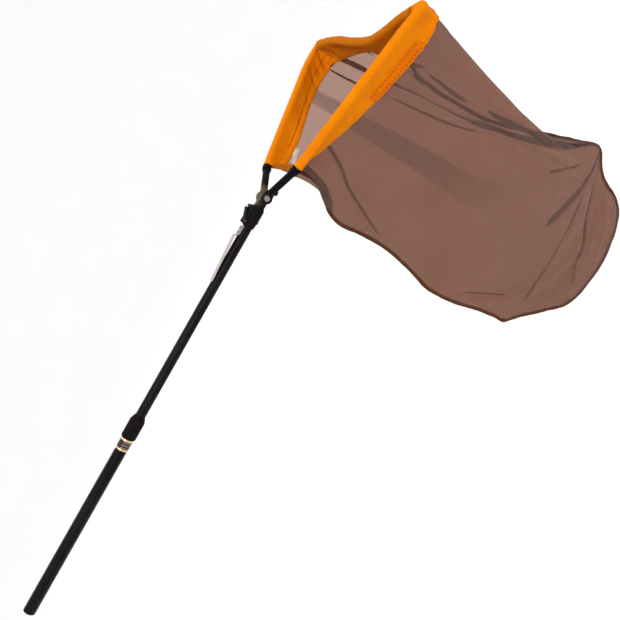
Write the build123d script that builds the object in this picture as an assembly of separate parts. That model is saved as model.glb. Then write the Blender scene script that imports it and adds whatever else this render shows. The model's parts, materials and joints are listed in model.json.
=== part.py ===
from build123d import *
import math
import os

os.makedirs("parts", exist_ok=True)

# Folding telescopic scoop net. Millimetres. +X runs along the pole from the butt to the net,
# +Z is up (the open side of the bag), +Y is across. The origin is the centre of the butt's end face.

# ---- pole ----
LOWER_R, LOWER_BORE_R, LOWER_END = 11.0, 10.0, 375.0
SEAT_START, SEAT_R = 322.0, 10.7
UPPER_R, UPPER_BORE_R = 9.0, 8.0
UPPER_START, UPPER_END = 328.7, 800.0
CAP_FLANGE_R, CAP_FLANGE_T, CAP_SPIGOT_END = 10.8, 3.0, 25.0
RING_REAR_X, RING_FRONT_X, RING_W, RING_R = 326.5, 344.5, 3.4, 11.35
BAND_START, BAND_END, BAND_R = 331.0, 343.4, 11.15
COLLAR_START, COLLAR_SHOULDER, COLLAR_TIP, COLLAR_R = 350.0, 383.0, 392.5, 13.5
COLLET_START, COLLET_LIP, COLLET_TIP, COLLET_R = 354.0, 375.0, 388.0, 12.2
RUN = 0.07

# ---- head ----
PIN_X, PIN_R = 835.0, 3.0
HUB_START, HUB_FACE, HUB_R = 776.0, 816.0, 12.5
TONGUE_HALF_W, TONGUE_HALF_H, TONGUE_TIP_R = 6.5, 8.0, 8.5
CHEEK_IN, CHEEK_OUT, CHEEK_R = 6.8, 14.0, 10.5
LEG_R, LEG_RING_R, LEG_RING_LEN = 6.5, 8.4, 11.0
LEG_ROOT = (6.0, 12.0)
LEG_END = (61.0, 69.0)
SOCKET_DEPTH = 30.0
ROD_R = 4.0
TIP = (345.0, 186.0)
FAR_BEND, FAR_TIP = (290.0, 163.3, 0.0), (334.0, 173.0, -4.0)
CORD_R, CORD_DROP = 1.75, -6.0
# the slack front cord between the tips, as (x from the pin, y)
CORD_LINE = [(334.0, -112.0), (322.0, -80.0), (319.0, -48.0), (322.5, -10.0), (329.0, 32.0), (335.0, 72.0),
             (338.0, 112.0)]

# ---- fabric ----
POCKET_IN, POCKET_OUT = 6.8, 8.0
BAND_HEIGHT, CLOTH_T, MESH_T = 45.0, 1.6, 1.0
BINDING_R = 2.6


def along_x(x0, x1, radius):
    """A round bar along the pole."""
    return Pos((x0 + x1) / 2, 0, 0) * Rot(0, 90, 0) * Cylinder(radius, x1 - x0)


def pipe(x0, x1, outer, inner):
    """A round tube along the pole."""
    return along_x(x0, x1, outer) - along_x(x0 - 1, x1 + 1, inner)


def turned(points):
    """A solid turned about the pole axis from (x, radius) points."""
    face = make_face(Polyline(*[(x, 0, r) for x, r in points], close=True))
    return revolve(face, Axis.X, 360)


def side_plate(points, y0, y1):
    """A flat plate in the XZ plane, y0 to y1 thick."""
    face = make_face(Polyline(*[(x, y0, z) for x, z in points], close=True))
    return extrude(face, amount=y1 - y0, dir=(0, 1, 0))


def cross_bar(x, z, radius, y0, y1):
    """A round bar across the pole."""
    return Pos(x, (y0 + y1) / 2, z) * Rot(90, 0, 0) * Cylinder(radius, y1 - y0)


def bar_between(a, b, radius):
    """A round bar from point a to point b."""
    a, b = Vector(*a), Vector(*b)
    plane = Plane(origin=(a + b) * 0.5, z_dir=b - a)
    return plane * Cylinder(radius, (b - a).length)


def at_pin(x, y, z=0.0):
    """A point given from the hinge pin."""
    return (PIN_X + x, y, z)


def soft_path(points, share=0.45):
    """Straight runs joined by tangent arcs, each arc taking a share of the shorter run."""
    points = [Vector(*p) for p in points]
    radii = []
    for before, here, after in zip(points, points[1:], points[2:]):
        turn = math.radians((here - before).get_angle(after - here))
        radii.append(share * min((here - before).length, (after - here).length) / math.tan(turn / 2))
    return FilletPolyline(*points, radius=radii)


def round_sweep(path, radius):
    """A round bar along a path."""
    return sweep(Plane(origin=path @ 0, z_dir=path % 0) * Circle(radius), path=path)


def toward(a, b, distance):
    """The point at a distance from a, on the way to b, in the mouth's plane."""
    length = math.hypot(b[0] - a[0], b[1] - a[1])
    return (a[0] + (b[0] - a[0]) * distance / length, a[1] + (b[1] - a[1]) * distance / length)


parts = {}

# ---- lower pole: tube, butt cap, trim, collet fitting ----
lower_tube = along_x(CAP_FLANGE_T, SEAT_START, LOWER_R) + along_x(SEAT_START, LOWER_END, SEAT_R)
parts["lower_tube"] = lower_tube - along_x(0, LOWER_END + 1, LOWER_BORE_R)
cap = along_x(0, CAP_FLANGE_T, CAP_FLANGE_R) + along_x(CAP_FLANGE_T, CAP_SPIGOT_END, LOWER_BORE_R)
parts["butt_cap"] = cap - along_x(CAP_FLANGE_T + 2, CAP_SPIGOT_END + 1, LOWER_BORE_R - 2)
parts["gold_ring_rear"] = pipe(RING_REAR_X, RING_REAR_X + RING_W, RING_R, SEAT_R)
parts["gold_ring_front"] = pipe(RING_FRONT_X, RING_FRONT_X + RING_W, RING_R, SEAT_R)
parts["printed_band"] = pipe(BAND_START, BAND_END, BAND_R, SEAT_R)

collet = turned([
    (COLLET_START, SEAT_R), (COLLET_START, COLLET_R), (COLLET_LIP + 1, COLLET_R),
    (COLLET_TIP, COLLET_R - 2.0), (COLLET_TIP, UPPER_R + RUN), (COLLET_LIP, UPPER_R + RUN),
    (COLLET_LIP, SEAT_R)])
for turn in range(4):
    slot = Pos(COLLET_TIP - 3.5, 0, 11) * Box(9, 1.2, 6)
    collet -= Rot(45 + 90 * turn, 0, 0) * slot
parts["collet_fitting"] = collet

# ---- twist-lock collar ----
parts["lock_collar"] = turned([
    (COLLAR_START, COLLET_R + RUN), (COLLAR_START, COLLAR_R - 0.6), (COLLAR_START + 0.6, COLLAR_R),
    (COLLAR_SHOULDER, COLLAR_R), (COLLAR_TIP, UPPER_R + 1.0), (COLLAR_TIP, UPPER_R + 0.35),
    (COLLET_TIP + 0.6, UPPER_R + 0.35), (COLLET_TIP + 0.6, COLLET_R - 1.4),
    (COLLET_LIP + 1.4, COLLET_R + RUN)])

# ---- slider: the guide bush that runs in the lower tube and lets the upper tube turn ----
parts["guide_bush"] = pipe(329.0, 370.0, LOWER_BORE_R - RUN, UPPER_R + RUN)

# ---- upper pole ----
upper_tube = pipe(UPPER_START, UPPER_END, UPPER_R, UPPER_BORE_R)
parts["stop_ring"] = pipe(370.3, 374.3, 9.7, UPPER_R)
parts["tube_plug"] = along_x(325.0, UPPER_START, 9.7) + along_x(UPPER_START, 345.0, UPPER_BORE_R)

# belt clip: a riveted foot near the head, a raised step, then a blade sloping down to the tube
CLIP_W = 12.0
clip = side_plate([
    (662.0, 9.15), (664.0, 10.05), (668.0, 10.05), (748.0, 15.4), (751.0, 16.0), (754.5, 11.2), (773.0, 11.2),
    (773.0, 8.0), (756.0, 8.0), (756.0, 10.2), (754.0, 10.2), (750.4, 15.0), (748.4, 14.4), (669.0, 9.15)],
    -CLIP_W / 2, CLIP_W / 2)
clip -= along_x(650, 790, UPPER_R)
rivets = [Pos(x, 0, 0) * (Pos(0, 0, 10.0) * Cylinder(1.6, 4.4)) + Pos(x, 0, 11.2 + 0.45) * Cylinder(2.6, 0.9)
          for x in (760.0, 768.5)]
for name, rivet in zip(("clip_rivet_rear", "clip_rivet_front"), rivets):
    parts[name] = rivet
    clip -= rivet
    upper_tube -= rivet
parts["belt_clip"] = clip
parts["upper_tube"] = upper_tube

# hub: socket over the tube, a channel for the lever, ears for its pin, and the hinge tongue
hub = turned([
    (HUB_START, 0), (HUB_START, 10.3), (HUB_START + 2, 11.0), (798.0, HUB_R), (812.0, HUB_R),
    (HUB_FACE, 10.5), (HUB_FACE, 0)])
hub += Pos(784.5, 0, 9.7) * Box(12.0, 17.2, 10.6)
hub += side_plate([(808, -TONGUE_HALF_H), (PIN_X, -TONGUE_HALF_H), (PIN_X, TONGUE_HALF_H),
                   (808, TONGUE_HALF_H)], -TONGUE_HALF_W, TONGUE_HALF_W)
hub += cross_bar(PIN_X, 0, TONGUE_TIP_R, -TONGUE_HALF_W, TONGUE_HALF_W)
hub -= Pos(796.0, 0, 10.0 + 6.0) * Box(44.0, 12.0, 12.0)
hub -= along_x(HUB_START - 1, UPPER_END, UPPER_R)
hub -= cross_bar(PIN_X, 0, PIN_R + 0.05, -10, 10)
LEVER_PIN = (782.0, 12.6, 1.2)
lever_pin = cross_bar(LEVER_PIN[0], LEVER_PIN[1], LEVER_PIN[2], -9.4, 9.4)
hub -= lever_pin
parts["lever_pin"] = lever_pin
hub_screw = Pos(790.0, 0, -11.1) * Cylinder(1.5, 2.4) + Pos(790.0, 0, -12.6) * Cylinder(3.0, 1.2)
hub -= hub_screw
parts["hub_screw"] = hub_screw
parts["hub"] = hub

# release lever: a ramp that rises to a square shoulder, with a cross bar at its foot
lever = side_plate([
    (777.0, 11.4), (778.5, 13.9), (788.0, 15.4), (803.0, 21.0), (805.6, 21.0), (806.6, 16.6),
    (813.0, 16.4), (813.0, 14.4), (805.0, 14.0), (789.0, 11.9), (786.0, 10.6), (779.0, 10.6)], -5.6, 5.6)
lever += Pos(811.0, 0, 15.4) * Box(4.0, 22.0, 2.4)
lever -= cross_bar(LEVER_PIN[0], LEVER_PIN[1], LEVER_PIN[2] + 0.06, -10, 10)
parts["release_lever"] = lever

# the small compression spring between the channel floor and the lever
SPRING_X, SPRING_LOW, SPRING_HIGH = 797.0, 10.3, 12.2
helix = Pos(SPRING_X, 0, SPRING_LOW) * Helix(pitch=0.95, height=SPRING_HIGH - SPRING_LOW, radius=2.0)
wire_face = Plane(origin=helix @ 0, z_dir=helix % 0) * Circle(0.28)
parts["lever_spring"] = sweep(wire_face, path=helix, is_frenet=True)

# ---- head: fork block, hinge pin, arms ----
ring_start = toward(LEG_END, LEG_ROOT, LEG_RING_LEN)
socket_end = toward(LEG_END, LEG_ROOT, SOCKET_DEPTH)
fork = Pos(PIN_X + 15.0, 0, -8.2) * Box(7.6, 46.0, 4.0)
for side in (-1, 1):
    y_low, y_high = sorted((side * CHEEK_IN, side * CHEEK_OUT))
    fork += cross_bar(PIN_X, 0, CHEEK_R, y_low, y_high)
    fork += side_plate([(PIN_X, -9.5), (PIN_X + 13, -9.0), (PIN_X + 13, 7.0), (PIN_X, 10.0)], y_low, y_high)
    leg = bar_between(at_pin(LEG_ROOT[0], side * LEG_ROOT[1]), at_pin(LEG_END[0], side * LEG_END[1]), LEG_R)
    ring = bar_between(at_pin(ring_start[0], side * ring_start[1]),
                       at_pin(LEG_END[0], side * LEG_END[1]), LEG_RING_R)
    past_end = toward(LEG_END, LEG_ROOT, -3.0)
    socket = bar_between(at_pin(socket_end[0], side * socket_end[1]),
                         at_pin(past_end[0], side * past_end[1]), ROD_R)
    fork += leg + ring
    fork -= socket
fork -= Pos(PIN_X, 0, 0) * Box(60.0, 2 * CHEEK_IN, 5.0)
fork -= side_plate([(PIN_X - 14, -5.8), (PIN_X + 26, -5.8), (PIN_X + 26, 14), (PIN_X - 14, 14)],
                   -CHEEK_IN, CHEEK_IN)
fork -= cross_bar(PIN_X, 0, PIN_R, -20, 20)
fork -= cross_bar(PIN_X, 0, 6.2, -30, -CHEEK_OUT) + cross_bar(PIN_X, 0, 6.2, CHEEK_OUT, 30)
parts["fork_block"] = fork

pin = cross_bar(PIN_X, 0, PIN_R, -14.6, 15.6)
pin += cross_bar(PIN_X, 0, 5.0, -16.9, -14.6) + cross_bar(PIN_X, 0, 4.4, 14.6, 16.2)
pin = chamfer(pin.edges().filter_by(GeomType.CIRCLE).group_by(Axis.Y)[0], 0.8)
parts["hinge_pin"] = pin
for name, y0 in (("hinge_washer_near", -14.6), ("hinge_washer_far", CHEEK_OUT)):
    parts[name] = cross_bar(PIN_X, 0, 5.8, y0, y0 + 0.6) - cross_bar(PIN_X, 0, PIN_R, -20, 20)

bend = toward(LEG_END, LEG_ROOT, -6.0)
near_tip_point, far_tip_point = at_pin(TIP[0], -TIP[1]), at_pin(*FAR_TIP)
front_points = [at_pin(x, y, CORD_DROP) for x, y in CORD_LINE]
cord_ends = [at_pin(TIP[0] - 0.5, -TIP[1] + 2.0, -0.5), at_pin(FAR_TIP[0], FAR_TIP[1] - 1.0, FAR_TIP[2])]
front_cord = round_sweep(soft_path([cord_ends[0]] + front_points + [cord_ends[1]]), CORD_R)
parts["front_cord"] = front_cord
near_route = [at_pin(socket_end[0], -socket_end[1]), at_pin(bend[0], -bend[1]), near_tip_point]
far_route = [at_pin(*socket_end), at_pin(*bend), at_pin(*FAR_BEND), far_tip_point]
for name, route, radii in (("near", near_route, 22.0), ("far", far_route, [22.0, 60.0])):
    tip_point = Vector(*route[-1])
    back = (Vector(*route[-2]) - tip_point).normalized()
    arm = round_sweep(FilletPolyline(*route[:-1], tip_point + back * 8.0, radius=radii), ROD_R)
    parts[name + "_arm"] = arm
    tip = bar_between(tip_point + back * 26.0, tip_point, 5.6) + Pos(tip_point) * Sphere(5.9)
    parts[name + "_tip"] = tip - arm - front_cord


# ---- fabric bands ----
def sleeve(side, short, hem_end):
    """The band over one arm: a pocket round the rod and a flap that leans in under it."""
    start = toward(LEG_END, TIP, 12.0)
    stop = toward(TIP, LEG_END, short)
    a, b = at_pin(start[0], side * start[1]), at_pin(stop[0], side * stop[1])
    pocket = bar_between(a, b, POCKET_OUT) - bar_between(at_pin(start[0] - 9, side * (start[1] - 3.7)),
                                                         at_pin(stop[0] + 9, side * (stop[1] + 3.7)), POCKET_IN)
    low, high = (0.0, CLOTH_T) if side < 0 else (-CLOTH_T, 0.0)
    ends = []
    for x, y, hem_x, hem_y in ((start[0], start[1], 76.0, 44.0), (stop[0], stop[1], *hem_end)):
        ends.append(make_face(Polyline(
            at_pin(x, side * y + low, -7.2), at_pin(hem_x, side * hem_y + low, -BAND_HEIGHT),
            at_pin(hem_x, side * hem_y + high, -BAND_HEIGHT), at_pin(x, side * y + high, -7.2), close=True)))
    return pocket + loft(ends, ruled=True)


parts["near_sleeve"] = sleeve(-1, 9.0, (343.0, 166.0))
parts["far_sleeve"] = sleeve(1, 64.0, (296.0, 150.0))

front_path = soft_path(front_points)
front_pocket = round_sweep(front_path, 4.4) - round_sweep(front_path, 3.0)
strip_edge = [Vector(*p) + Vector(-0.8, 0, -3.8) for p in front_points]
strip_back = [p + Vector(CLOTH_T, 0, 0) for p in reversed(strip_edge)]
strip = make_face(Polyline(*strip_edge, *strip_back, close=True))
parts["front_sleeve"] = front_pocket + extrude(strip, amount=BAND_HEIGHT - 3.8, dir=(0, 0, -1))

for name, side in (("near_heel_band", -1), ("far_heel_band", 1)):
    ends = []
    for x, y, z_top, z_low, x_low, y_low in ((66.0, 56.0, -6.0, -39.0, 73.0, 41.0),
                                             (78.0, 1.0, -9.0, -44.0, 69.0, 1.0)):
        ends.append(make_face(Polyline(at_pin(x, side * y, z_top), at_pin(x_low, side * y_low, z_low),
                                       at_pin(x_low + CLOTH_T, side * y_low, z_low),
                                       at_pin(x + CLOTH_T, side * y, z_top), close=True)))
    parts[name] = loft(ends, ruled=True)

# ---- mesh bag: two panels that meet at the bound seam ----
# each level: height, heel seam, the middle (x, y), the edge towards the arm's tip (x, y), front seam
LEVELS = [
    (-47.0, 80.0, 200.0, 105.0, 350.0, 158.0, 328.0), (-120.0, 52.0, 205.0, 100.0, 384.0, 130.0, 350.0),
    (-220.0, 47.0, 208.0, 96.0, 396.0, 96.0, 352.0), (-330.0, 46.0, 214.0, 84.0, 412.0, 70.0, 373.0),
    (-450.0, 36.0, 222.0, 66.0, 434.0, 42.0, 420.0), (-560.0, 56.0, 240.0, 48.0, 468.0, 22.0, 472.0),
    (-623.0, 66.0, 262.0, 36.0, 492.0, 10.0, 503.0), (-650.0, 76.0, 272.0, 31.0, 466.0, 12.0, 496.0),
    (-710.0, 118.0, 285.0, 20.0, 412.0, 12.0, 458.0), (-770.0, 172.0, 308.0, 10.0, 394.0, 6.5, 436.0),
    (-804.0, 226.0, 316.0, 4.6, 366.0, 3.8, 404.0), (-819.0, 266.0, 320.0, 3.2, 348.0, 2.9, 374.0)]
SEAM_Y = 2.4
STEPS = (7, 6, 4)
COLUMNS = sum(STEPS)


def level_points(level):
    """The line of one panel at one height, from the heel seam to the front seam, on the +Y side."""
    z, x_heel, x_mid, y_mid, x_edge, y_edge, x_front = level
    marks = [Vector(x_heel, SEAM_Y), Vector(x_mid, y_mid), Vector(x_edge, y_edge), Vector(x_front, SEAM_Y)]
    marks = [marks[0] * 2 - marks[1]] + marks + [marks[3] * 2 - marks[2]]
    row = []
    for part, steps in enumerate(STEPS):
        a, b, c, d = marks[part:part + 4]
        for step in range(steps):
            t = step / steps
            curve = (a * 2 - b * 5 + c * 4 - d) * t ** 2 + (b * 3 - a - c * 3 + d) * t ** 3
            p = (b * 2 + (c - a) * t + curve) * 0.5
            row.append(Vector(PIN_X + p.X, max(p.Y, SEAM_Y), z))
    row.append(Vector(PIN_X + x_front, SEAM_Y, z))
    return row


def panel(side):
    """One closed thin sheet of the bag, built from small flat facets."""
    skin = [level_points(level) for level in LEVELS]
    rows, columns = len(skin), COLUMNS + 1
    lining = []
    for i in range(rows):
        line = []
        for j in range(columns):
            along = skin[i][min(j + 1, columns - 1)] - skin[i][max(j - 1, 0)]
            down = skin[min(i + 1, rows - 1)][j] - skin[max(i - 1, 0)][j]
            inward = along.cross(down).normalized() * MESH_T
            if inward.Y > 0:
                inward = inward * -1
            inner = skin[i][j] + inward
            line.append(Vector(inner.X, max(inner.Y, 0.8), skin[i][j].Z))
        lining.append(line)
    # every quad is listed so that it faces out of the sheet on the +Y side
    quads = []
    for i in range(rows - 1):
        for j in range(columns - 1):
            quads.append((skin[i][j], skin[i][j + 1], skin[i + 1][j + 1], skin[i + 1][j]))
            quads.append((lining[i][j], lining[i + 1][j], lining[i + 1][j + 1], lining[i][j + 1]))
    last = rows - 1
    for j in range(columns - 1):
        quads.append((skin[0][j], lining[0][j], lining[0][j + 1], skin[0][j + 1]))
        quads.append((skin[last][j], skin[last][j + 1], lining[last][j + 1], lining[last][j]))
    for i in range(rows - 1):
        quads.append((skin[i][0], skin[i + 1][0], lining[i + 1][0], lining[i][0]))
        quads.append((skin[i][-1], lining[i][-1], lining[i + 1][-1], skin[i + 1][-1]))
    faces = []
    for quad in quads:
        corners = [Vector(p.X, side * p.Y, p.Z) for p in (quad if side > 0 else reversed(quad))]
        for three in (corners[:3], [corners[0], corners[2], corners[3]]):
            faces.append(Face(Wire.make_polygon(three, close=True)))
    return Solid(Shell(faces))


parts["near_panel"] = panel(-1)
parts["far_panel"] = panel(1)

seam = [(74.5, -52.0), (46.0, -118.0), (41.0, -216.0), (40.0, -330.0), (30.0, -450.0), (49.5, -562.0),
        (67.5, -650.0), (112.0, -714.0), (166.0, -777.0), (228.0, -817.0), (315.0, -830.0), (404.0, -816.0),
        (444.0, -775.0), (467.0, -715.0), (505.0, -654.0), (512.0, -625.0), (480.0, -558.0), (428.0, -448.0),
        (381.0, -330.0), (360.0, -219.0), (357.5, -119.0), (335.5, -52.0)]
parts["seam_binding"] = round_sweep(
    soft_path([at_pin(x, 0, z) for x, z in seam], 0.2), BINDING_R)

parts["care_tag"] = side_plate([(PIN_X + 81.5, -17.0), (PIN_X + 84.5, -8.0), (PIN_X + 110, 0.0),
                                (PIN_X + 106, -11.0)], -0.4, 0.4)

for name, shape in parts.items():
    export_step(shape, "parts/" + name + ".step")
    print(name, round(shape.volume, 1), len(shape.solids()))
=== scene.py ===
import bpy
import json
import math
import numpy as np
from mathutils import Matrix, Vector, noise


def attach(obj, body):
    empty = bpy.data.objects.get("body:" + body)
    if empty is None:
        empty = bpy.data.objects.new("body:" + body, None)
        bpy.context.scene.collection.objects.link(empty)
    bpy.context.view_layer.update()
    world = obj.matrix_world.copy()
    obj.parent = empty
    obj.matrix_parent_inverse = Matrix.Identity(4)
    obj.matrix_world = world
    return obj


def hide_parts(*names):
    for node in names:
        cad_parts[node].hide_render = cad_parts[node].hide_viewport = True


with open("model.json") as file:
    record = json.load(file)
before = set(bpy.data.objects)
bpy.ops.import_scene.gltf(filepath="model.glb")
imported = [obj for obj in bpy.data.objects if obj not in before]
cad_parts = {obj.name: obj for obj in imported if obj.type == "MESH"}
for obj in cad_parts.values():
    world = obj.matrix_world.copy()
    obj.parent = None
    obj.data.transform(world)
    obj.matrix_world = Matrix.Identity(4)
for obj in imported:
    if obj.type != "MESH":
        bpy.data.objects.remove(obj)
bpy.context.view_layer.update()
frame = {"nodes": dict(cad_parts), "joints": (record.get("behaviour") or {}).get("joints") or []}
nodes = frame["nodes"]
scene = bpy.context.scene
PIN = np.array(next(j for j in frame["joints"] if j["name"] == "head_fold")["pos_m"], float)

# ------------------------------------------------------------------ camera, light, floor
VIEW_FORWARD = Vector((0.009185, 0.877098, -0.480224))
VIEW_ROLL = math.radians(60.2)
VIEW_PLACE, VIEW_LENS = (0.69241, -1.04446, 0.38022), 36.15


def make_camera():
    """A camera that looks down on the mouth, rolled so that the pole runs up to the right."""
    data = bpy.data.cameras.new("camera")
    data.sensor_width, data.lens = 36.0, VIEW_LENS
    data.clip_start, data.clip_end = 0.05, 60.0
    camera = bpy.data.objects.new("camera", data)
    scene.collection.objects.link(camera)
    right = VIEW_FORWARD.cross(Vector((0, 0, 1))).normalized()
    up = right.cross(VIEW_FORWARD)
    axis_x = right * math.cos(VIEW_ROLL) - up * math.sin(VIEW_ROLL)
    axis_y = right * math.sin(VIEW_ROLL) + up * math.cos(VIEW_ROLL)
    turn = Matrix((axis_x, axis_y, -VIEW_FORWARD)).transposed()
    camera.matrix_world = Matrix.Translation(VIEW_PLACE) @ turn.to_4x4()
    scene.camera = camera


def area_light(name, place, target, size, power):
    """A round soft light that faces a target."""
    data = bpy.data.lights.new(name, "AREA")
    data.shape, data.size, data.energy = "DISK", size, power
    light = bpy.data.objects.new(name, data)
    scene.collection.objects.link(light)
    light.location = place
    light.rotation_euler = (Vector(target) - Vector(place)).to_track_quat("-Z", "Y").to_euler()


def link_mesh(name, verts, faces, smooth=True):
    """A new mesh object from lists of points and faces."""
    mesh = bpy.data.meshes.new(name)
    mesh.from_pydata([tuple(v) for v in verts], [], [tuple(int(i) for i in f) for f in faces])
    mesh.update()
    mesh.polygons.foreach_set("use_smooth", [smooth] * len(mesh.polygons))
    made = bpy.data.objects.new(name, mesh)
    scene.collection.objects.link(made)
    return made


# ------------------------------------------------------------------ material helpers
WEAVE_SCALE, NET_SCALE = 300.0, 262.0       # wave scales of the woven and the netted threads


class Nodes:
    """Short names for building a node material."""

    def __init__(self, name):
        self.material = bpy.data.materials.new(name)
        self.material.use_nodes = True
        self.tree = self.material.node_tree
        self.shader = self.tree.nodes["Principled BSDF"]
        self.output = self.tree.nodes["Material Output"]
        coords = self.tree.nodes.new("ShaderNodeTexCoord")
        self.place = coords.outputs["Object"]

    def node(self, kind, inputs=(), **props):
        made = self.tree.nodes.new("ShaderNode" + kind)
        for key, value in props.items():
            setattr(made, key, value)
        for key, value in dict(inputs).items():
            self.put(made.inputs[key], value)
        return made

    def put(self, socket, value):
        if isinstance(value, bpy.types.NodeSocket):
            self.tree.links.new(value, socket)
        else:
            socket.default_value = value

    def flat(self):
        """The cloth's own flat coordinates, in metres."""
        return self.node("UVMap", uv_map="flat").outputs["UV"]

    def noise(self, scale, detail=3.0, rough=0.55, where=None, stretch=None):
        where = where or self.place
        if stretch:
            where = self.node("Mapping", {"Vector": where, "Scale": stretch}).outputs[0]
        return self.node("TexNoise", {"Vector": where, "Scale": scale, "Detail": detail,
                                      "Roughness": rough}).outputs["Fac"]

    def wave(self, scale, direction="X", where=None, profile="SIN", distortion=0.0):
        return self.node("TexWave", {"Vector": where or self.place, "Scale": scale, "Distortion": distortion},
                         bands_direction=direction, wave_profile=profile).outputs["Fac"]

    def math(self, operation, a, b=0.5):
        return self.node("Math", {0: a, 1: b}, operation=operation).outputs[0]

    def ramp(self, factor, low, high, start, end):
        """Maps a factor from low..high to start..end."""
        return self.node("MapRange", {"Value": factor, "From Min": low, "From Max": high,
                                      "To Min": start, "To Max": end}).outputs[0]

    def mix(self, factor, a, b):
        made = self.tree.nodes.new("ShaderNodeMix")
        made.data_type = "RGBA"
        self.put(made.inputs[0], factor)
        self.put(made.inputs[6], a)
        self.put(made.inputs[7], b)
        return made.outputs[2]

    def bump(self, height, strength, distance, normal=None):
        made = self.node("Bump", {"Height": height, "Strength": strength, "Distance": distance})
        if normal is not None:
            self.put(made.inputs["Normal"], normal)
        return made.outputs[0]

    def set(self, **values):
        for key, value in values.items():
            self.put(self.shader.inputs[key.replace("_", " ")], value)


def rgb(red, green, blue):
    return (red, green, blue, 1.0)


def metal(name, base, dark, roughness, brushed=(1, 1, 1), scale=900.0, coat=0.0):
    """Turned, brushed or anodised metal with fine lines, smudges and light wear."""
    m = Nodes(name)
    lines = m.noise(scale, 4.0, 0.6, stretch=brushed)
    smudge = m.noise(38.0, 4.0, 0.6)
    colour = m.mix(m.ramp(smudge, 0.3, 0.75, 0.0, 1.0), rgb(*dark), rgb(*base))
    m.set(Base_Color=colour, Metallic=1.0,
          Roughness=m.ramp(smudge, 0.3, 0.7, roughness * 0.8, roughness * 1.35),
          Normal=m.bump(lines, 0.22, 0.0002), Coat_Weight=coat, Coat_Roughness=0.2)
    return m.material


def anodised(name, base, edge):
    """Black anodised tube: drawn lines along it, fine pores and faint handling marks."""
    m = Nodes(name)
    drawn = m.noise(700.0, 3.0, 0.6, stretch=(0.06, 1, 1))
    pores = m.noise(2600.0, 2.0, 0.5)
    marks = m.noise(16.0, 5.0, 0.65, stretch=(0.5, 1, 1))
    colour = m.mix(m.ramp(marks, 0.35, 0.75, 0.0, 1.0), rgb(*base), rgb(*edge))
    height = m.math("ADD", drawn, m.math("MULTIPLY", pores, 0.5))
    m.set(Base_Color=colour, Metallic=0.8, Specular_IOR_Level=0.05,
          Roughness=m.ramp(marks, 0.3, 0.75, 0.34, 0.52), Normal=m.bump(height, 0.25, 0.00012))
    return m.material


def moulded(name, base, light, roughness=0.5, grain=0.3, painted_highlight=None):
    """Moulded plastic with a fine leathered grain and flow marks.

    The last argument is (place, radius, colour) of a painted highlight: a lighter spot that stands in for light
    falling on an upward face."""
    m = Nodes(name)
    cells = m.node("TexVoronoi", {"Vector": m.place, "Scale": 1500.0}, feature="F1").outputs["Distance"]
    cloudy = m.noise(60.0, 4.0, 0.6)
    colour = m.mix(m.ramp(cloudy, 0.35, 0.75, 0.0, 1.0), rgb(*base), rgb(*light))
    # painted highlight: a lighter olive spot mixed into the colour round a point, standing in for light on the
    # fork's top
    if painted_highlight:
        place, radius, highlight_colour = painted_highlight
        away = m.node("VectorMath", {0: m.place, 1: place}, operation="DISTANCE").outputs["Value"]
        spot = m.math("MULTIPLY", m.ramp(away, radius * 0.5, radius, 1.0, 0.0),
                      m.ramp(cloudy, 0.3, 0.6, 0.45, 1.0))
        colour = m.mix(spot, colour, rgb(*highlight_colour))
    m.set(Base_Color=colour, Roughness=m.ramp(cloudy, 0.3, 0.7, roughness * 0.85, roughness * 1.2),
          Specular_IOR_Level=0.03, Normal=m.bump(cells, grain, 0.00015))
    return m.material


def printed(name):
    """The dark printed band: satin ink with a generic run of small pale dashes round it."""
    m = Nodes(name)
    specks = m.noise(1800.0, 2.0, 0.5)
    fade = m.noise(90.0, 3.0, 0.6)
    ink = m.mix(m.ramp(fade, 0.35, 0.7, 0.0, 1.0), rgb(0.020, 0.017, 0.016), rgb(0.045, 0.038, 0.034))
    parts = m.node("SeparateXYZ", {"Vector": m.place})
    angle = m.math("ARCTAN2", parts.outputs["Y"], parts.outputs["Z"])
    dash = m.math("GREATER_THAN", m.math("SINE", m.math("MULTIPLY", angle, 22.0)), -0.2)
    line = m.math("GREATER_THAN", m.wave(62.0, "X"), 0.72)
    block = m.math("GREATER_THAN", m.math("SINE", m.math("MULTIPLY", angle, 3.0)), -0.35)
    marks = m.math("MULTIPLY", m.math("MULTIPLY", dash, line), block)
    colour = m.mix(m.math("MULTIPLY", marks, 0.75), ink, rgb(0.42, 0.34, 0.22))
    m.set(Base_Color=colour, Roughness=m.ramp(fade, 0.3, 0.7, 0.4, 0.55),
          Specular_IOR_Level=0.15, Normal=m.bump(specks, 0.2, 0.0001))
    return m.material


def braided(name, light, dark):
    """A braided cord: two crossing sets of strands."""
    m = Nodes(name)
    one = m.wave(150.0, "DIAGONAL")
    lean = m.node("Mapping", {"Vector": m.place, "Scale": (1, -1, 1)}).outputs[0]
    two = m.wave(150.0, "DIAGONAL", where=lean)
    strands = m.math("MAXIMUM", one, two)
    m.set(Base_Color=m.mix(strands, rgb(*dark), rgb(*light)), Roughness=0.8, Sheen_Weight=0.2,
          Normal=m.bump(strands, 0.6, 0.0004))
    return m.material


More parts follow.
